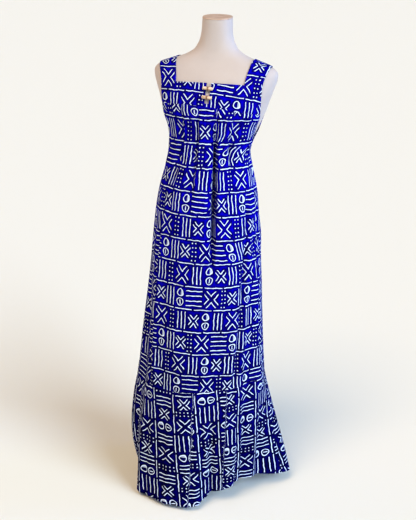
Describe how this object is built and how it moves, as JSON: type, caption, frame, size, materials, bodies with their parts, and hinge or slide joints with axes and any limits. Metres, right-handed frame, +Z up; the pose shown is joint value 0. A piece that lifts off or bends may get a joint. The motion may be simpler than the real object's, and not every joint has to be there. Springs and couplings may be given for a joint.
{
  "type": "maxi dress on a dress form",
  "caption": "Long sleeveless empire-line dress with a square neck, wide straps and a bottom flounce, worn on a limbless dress form that stands on a flat cross base.",
  "frame": {"origin": "centre of the flat underside of the stand's cross base, on the floor", "axes": "+Z up, front of the dress faces -Y, the wearer's left side is at +X"},
  "size_m": [0.5521, 0.4458, 1.5551],
  "materials": {
    "printed_cotton": "plain-woven blue cotton with a white block print, matte",
    "toggle_wood": "pale smooth wood",
    "form_cover": "smooth cream jersey cover",
    "form_cap": "matte tan neck cap",
    "stand_steel": "satin pale powder coat"
  },
  "bodies": {
    "root": {"yoke_front": "printed_cotton", "yoke_back": "printed_cotton", "skirt_front": "printed_cotton", "skirt_back": "printed_cotton", "flounce_front": "printed_cotton", "flounce_back": "printed_cotton", "toggle_upper": "toggle_wood", "toggle_lower": "toggle_wood", "form_torso": "form_cover", "form_neck_cap": "form_cap", "stand_pole": "stand_steel", "stand_base": "stand_steel"}
  },
  "joints": []
}
